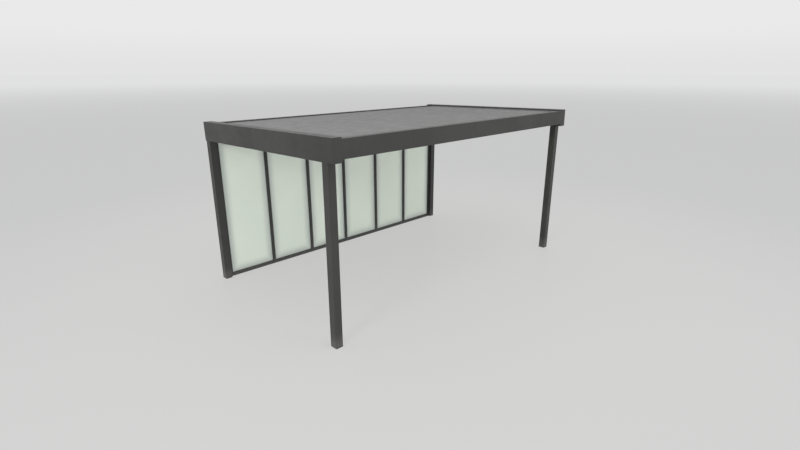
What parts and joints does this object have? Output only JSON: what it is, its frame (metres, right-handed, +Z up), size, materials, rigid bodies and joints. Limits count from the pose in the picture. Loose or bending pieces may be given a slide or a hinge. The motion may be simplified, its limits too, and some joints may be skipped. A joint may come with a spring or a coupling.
{
  "type": "carport",
  "caption": "Flat-roof aluminium carport on square posts, with deep end beams, a roof falling gently to the rear, and a frosted glass wall on one long side.",
  "frame": {"origin": "on the ground, under the middle of the outline", "axes": "+X along the length, to the right seen from the open front side; +Y from the open front side to the glazed rear side; +Z up"},
  "size_m": [5, 3.1054, 2.542],
  "materials": {
    "frame": "fine-textured matt anthracite powder coat",
    "foot": "galvanised steel plate",
    "purlin": "matt anthracite powder coat",
    "roof": "matt grey coated, finely ribbed sandwich panel",
    "gutter": "matt anthracite coated sheet",
    "wall_frame": "matt anthracite powder coat",
    "glass": "frosted safety glass with a faint green tint"
  },
  "bodies": {
    "root": {"post_front_left": "frame", "post_front_right": "frame", "post_rear_left": "frame", "post_rear_right": "frame", "post_foot_front_left": "foot", "post_foot_front_right": "foot", "post_foot_rear_left": "foot", "post_foot_rear_right": "foot", "end_beam_left": "frame", "end_beam_right": "frame", "end_cap_front_left": "frame", "end_cap_front_right": "frame", "end_cap_rear_left": "frame", "end_cap_rear_right": "frame", "long_beam_front": "frame", "long_beam_rear": "frame", "purlin_front": "purlin", "purlin_middle": "purlin", "purlin_rear": "purlin", "roof_panel_1": "roof", "roof_panel_2": "roof", "roof_panel_3": "roof", "roof_panel_4": "roof", "roof_panel_5": "roof", "rear_gutter": "gutter", "wall_bottom_rail": "wall_frame", "wall_top_rail": "wall_frame", "wall_jamb_left": "wall_frame", "wall_jamb_right": "wall_frame", "wall_mullion_1": "wall_frame", "wall_mullion_2": "wall_frame", "wall_mullion_3": "wall_frame", "wall_mullion_4": "wall_frame", "wall_mullion_5": "wall_frame", "glass_pane_1": "glass", "glass_pane_2": "glass", "glass_pane_3": "glass", "glass_pane_4": "glass", "glass_pane_5": "glass", "glass_pane_6": "glass"}
  },
  "joints": []
}
